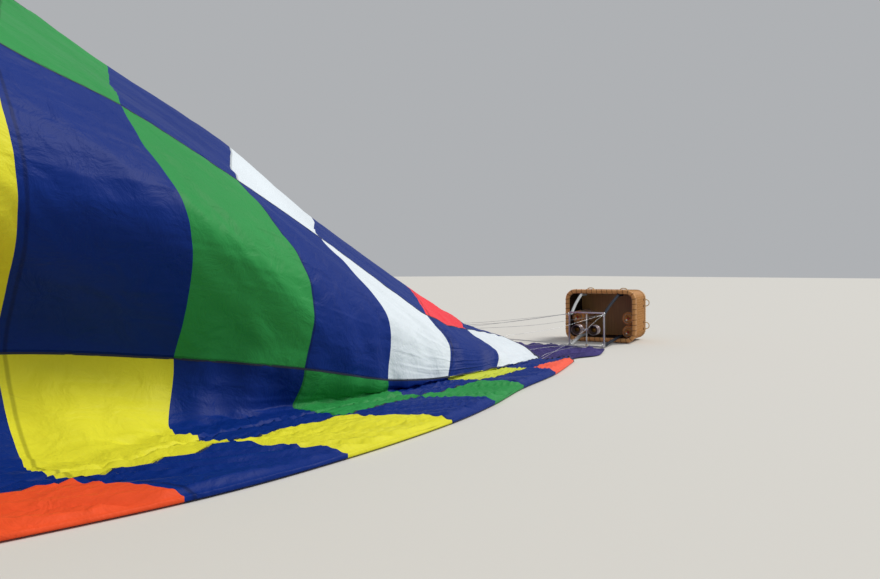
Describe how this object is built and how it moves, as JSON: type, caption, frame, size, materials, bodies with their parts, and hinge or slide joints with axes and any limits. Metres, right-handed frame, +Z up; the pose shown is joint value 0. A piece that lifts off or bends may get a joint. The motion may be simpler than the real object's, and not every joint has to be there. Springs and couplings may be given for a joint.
{
  "type": "hot air balloon",
  "caption": "Hot air balloon laid out on its side for inflation: part-filled checkerboard envelope, skirt, burner frame with twin burner, and wicker basket with fuel cylinders.",
  "frame": {"origin": "middle of the bounding box on the ground", "axes": "+X from the crown to the basket along the envelope, +Y to the side away from the picture's camera, +Z up"},
  "size_m": [26.6903, 16.6662, 7.3906],
  "materials": {
    "envelope_fabric": "coated ripstop in a checkerboard of navy, green, yellow, white, orange and red",
    "skirt_fabric": "dark violet-navy heat-resistant cloth",
    "crown_ring": "satin",
    "stainless_wire": "stranded",
    "frame_steel": "satin",
    "burner_steel": "heat tinted",
    "upright_cover": "padded cover, light grey",
    "upright_cover_dark": "padded cover, blue grey",
    "wicker": "woven willow and cane",
    "suede": "suede over foam",
    "rawhide": "hard hide",
    "floor_board": "varnished plywood and ash",
    "rope": "twisted rope",
    "cylinder_jacket": "padded tan jacket"
  },
  "bodies": {
    "balloon": {"gore_top": "envelope_fabric", "gore_bottom": "envelope_fabric", "gore_upper_near": "envelope_fabric", "gore_upper_far": "envelope_fabric", "gore_side_near": "envelope_fabric", "gore_side_far": "envelope_fabric", "gore_low_near": "envelope_fabric", "gore_low_far": "envelope_fabric", "gore_fold_near": "envelope_fabric", "gore_fold_far": "envelope_fabric", "gore_under_near": "envelope_fabric", "gore_under_far": "envelope_fabric", "parachute_vent": "envelope_fabric", "crown_ring": "crown_ring", "skirt": "skirt_fabric", "flying_wires_1": "stainless_wire", "flying_wires_2": "stainless_wire", "flying_wires_3": "stainless_wire", "flying_wires_4": "stainless_wire", "burner_frame": "frame_steel", "upright_1": "upright_cover_dark", "upright_2": "upright_cover", "upright_3": "upright_cover_dark", "upright_4": "upright_cover", "basket_walls": "wicker", "rim_padding": "suede", "basket_floor": "floor_board", "base_band": "rawhide", "skid_1": "floor_board", "skid_2": "floor_board", "skid_3": "floor_board", "handle_top_1": "rope", "handle_top_2": "rope", "handle_near_1": "rope", "handle_near_2": "rope", "handle_far_1": "rope", "handle_far_2": "rope", "fuel_cylinder_1": "cylinder_jacket", "fuel_cylinder_2": "cylinder_jacket", "fuel_cylinder_3": "cylinder_jacket", "fuel_cylinder_4": "cylinder_jacket"},
    "gimbal": {"gimbal_bar": "frame_steel"},
    "burners": {"burner": "burner_steel"}
  },
  "joints": [
    {"name": "gimbal_turn", "type": "hinge", "parent": "balloon", "child": "gimbal", "pos_m": [10.8851, -1.4455, 0.37], "axis": [0, 0, 1], "range_deg": [-20, 20]},
    {"name": "burner_tilt", "type": "hinge", "parent": "gimbal", "child": "burners", "pos_m": [10.8851, -1.4455, 0.37], "axis": [-0.4848, 0.8746, 0], "range_deg": [-15, 15]}
  ]
}
